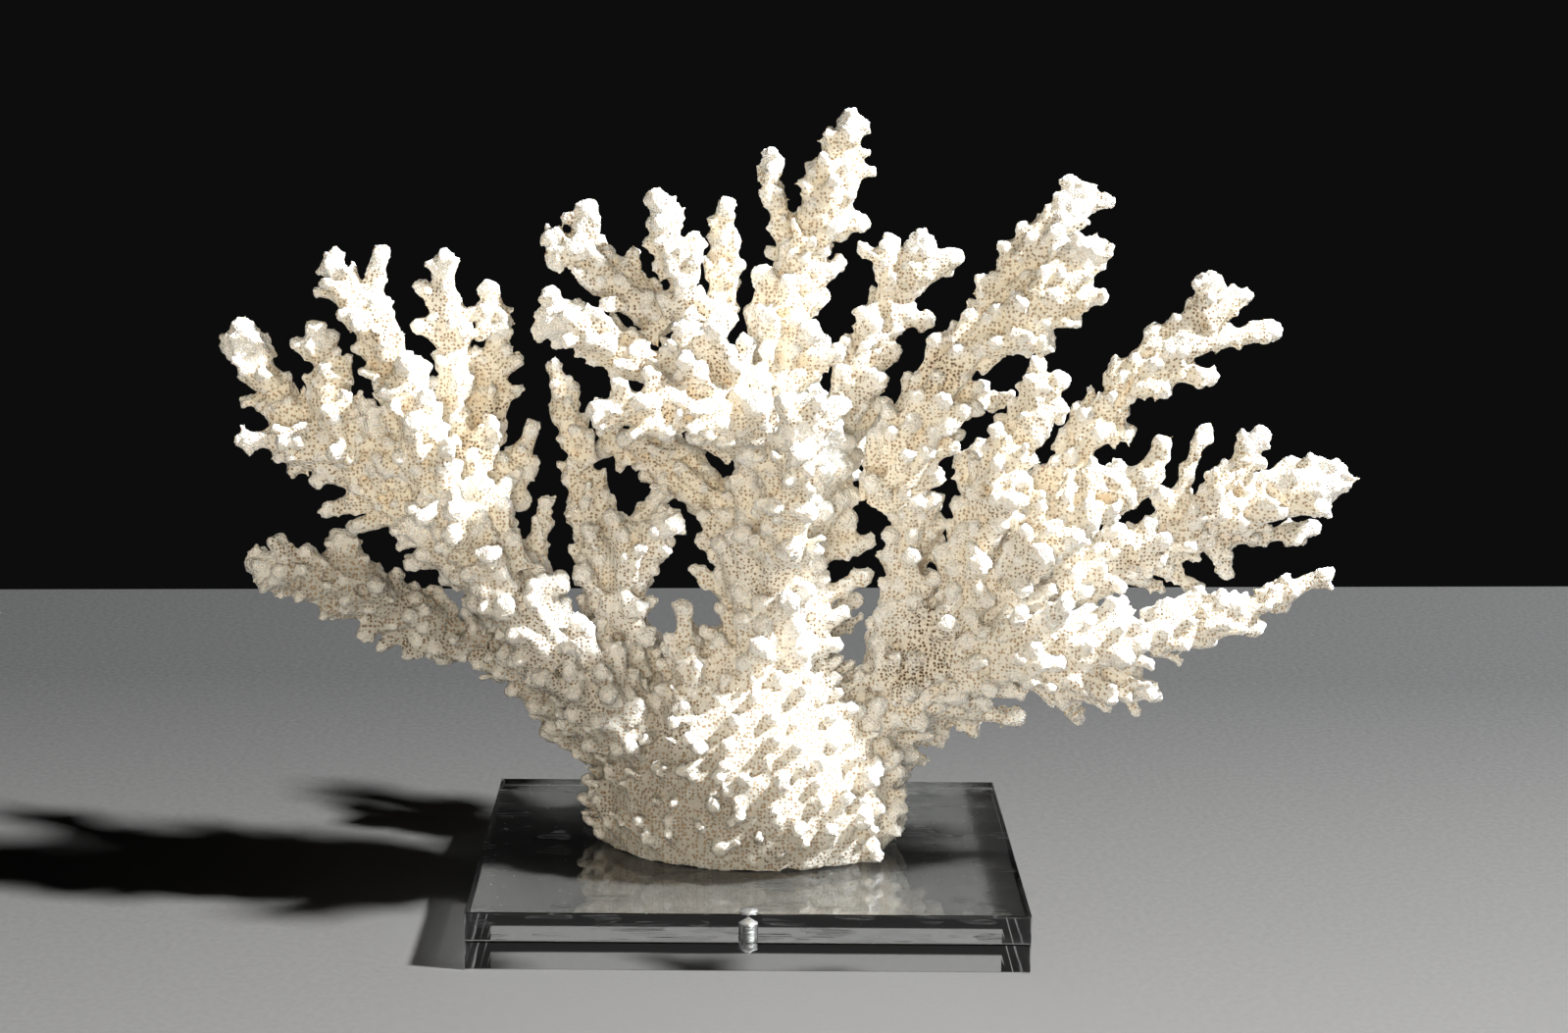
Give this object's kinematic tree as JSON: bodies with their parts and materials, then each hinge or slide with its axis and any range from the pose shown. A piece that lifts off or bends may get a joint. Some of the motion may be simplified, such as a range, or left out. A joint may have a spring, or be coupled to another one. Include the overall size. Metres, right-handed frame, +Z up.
{
  "type": "mounted coral specimen",
  "caption": "Branching stony coral, bleached and dried, standing on a low plinth of clear acrylic sheets joined by a steel pin.",
  "frame": {"origin": "middle of the plinth's underside", "axes": "+Z up, +X to the right of the plinth's front face, +Y from the front face to the back"},
  "size_m": [0.3919, 0.1572, 0.2808],
  "materials": {
    "coral": "matte, porous, bleached cream white",
    "acrylic": "clear, polished faces and saw-marked edges",
    "pin_steel": "turned"
  },
  "bodies": {
    "root": {"lower_sheet": "acrylic", "upper_sheet": "acrylic", "locating_pin": "pin_steel", "coral_foot": "coral", "left_limb": "coral", "lower_left_limb": "coral", "left_outer_branch": "coral", "left_tall_branch": "coral", "left_inner_branch": "coral", "left_rear_branch": "coral", "inner_left_limb": "coral", "centre_column": "coral", "rear_left_limb": "coral", "centre_head": "coral", "head_stub_branch": "coral", "head_left_branch": "coral", "head_top_branch": "coral", "top_limb": "coral", "small_right_branch": "coral", "right_limb": "coral", "rear_right_stub": "coral", "upper_right_limb": "coral", "right_inner_branch": "coral", "long_right_branch": "coral", "right_fan_branch": "coral", "right_outer_branch": "coral", "lower_right_limb": "coral", "front_centre_limb": "coral", "back_centre_limb": "coral", "back_right_limb": "coral", "back_left_limb": "coral"}
  },
  "joints": []
}
